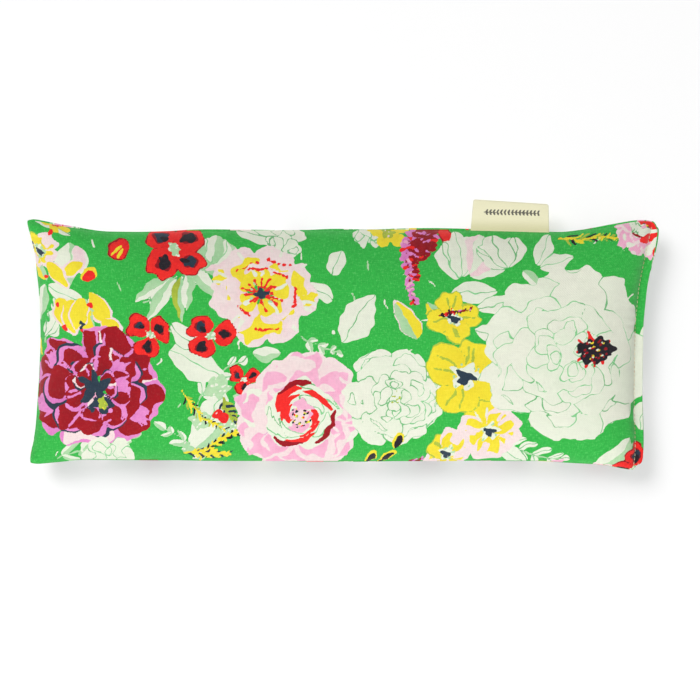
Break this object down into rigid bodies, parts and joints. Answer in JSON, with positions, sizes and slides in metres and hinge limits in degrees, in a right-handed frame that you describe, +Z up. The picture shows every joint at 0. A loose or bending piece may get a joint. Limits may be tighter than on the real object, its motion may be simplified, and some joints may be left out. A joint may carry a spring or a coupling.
{
  "type": "eye pillow",
  "caption": "Long soft eye pillow: printed cotton cover with a folded ribbon tab and a topstitched end, around an inner pouch of loose flax seed and dried lavender.",
  "frame": {"origin": "centre of the flat resting face, under the middle of the filled pillow", "axes": "+X along the length towards the topstitched closing end, +Y across the width towards the long seam that holds the ribbon tab, +Z up out of the front face"},
  "size_m": [0.2492, 0.1071, 0.029],
  "materials": {
    "printed_cotton": "matte plain-weave cotton-linen with a floral print",
    "sewing_thread": "spun thread",
    "topstitch_thread": "spun thread",
    "ribbon": "fine woven ribbon, soft sheen",
    "muslin": "matte unbleached muslin",
    "flax_seed": "smooth glossy seed",
    "lavender_bud": "dry matte bud"
  },
  "bodies": {
    "right_half": {"cover_front": "printed_cotton", "cover_back": "printed_cotton", "top_seam_thread": "sewing_thread", "bottom_seam_thread": "sewing_thread", "left_seam_thread": "sewing_thread", "closure_needle_thread": "topstitch_thread", "closure_bobbin_thread": "topstitch_thread", "label_seam_ends": "ribbon", "pouch_front": "muslin", "pouch_back": "muslin", "pouch_seam_thread": "sewing_thread", "pouch_closing_thread": "sewing_thread", "flax_fill_right": "flax_seed", "lavender_right": "lavender_bud"},
    "left_half": {"flax_fill_left": "flax_seed", "lavender_left": "lavender_bud"},
    "label": {"label_tab": "ribbon"}
  },
  "joints": [
    {"name": "fold", "type": "hinge", "parent": "right_half", "child": "left_half", "pos_m": [0, 0, 0.0105], "axis": [0, 1, 0], "range_deg": [0, 75], "deforming": ["cover_front", "cover_back", "top_seam_thread", "bottom_seam_thread", "left_seam_thread", "pouch_front", "pouch_back", "pouch_seam_thread"]},
    {"name": "label_flap", "type": "hinge", "parent": "right_half", "child": "label", "pos_m": [0.0672, 0.0464, 0.0105], "axis": [1, 0, 0], "range_deg": [-60, 100], "stiffness_Nm_per_rad": 0.0001}
  ]
}
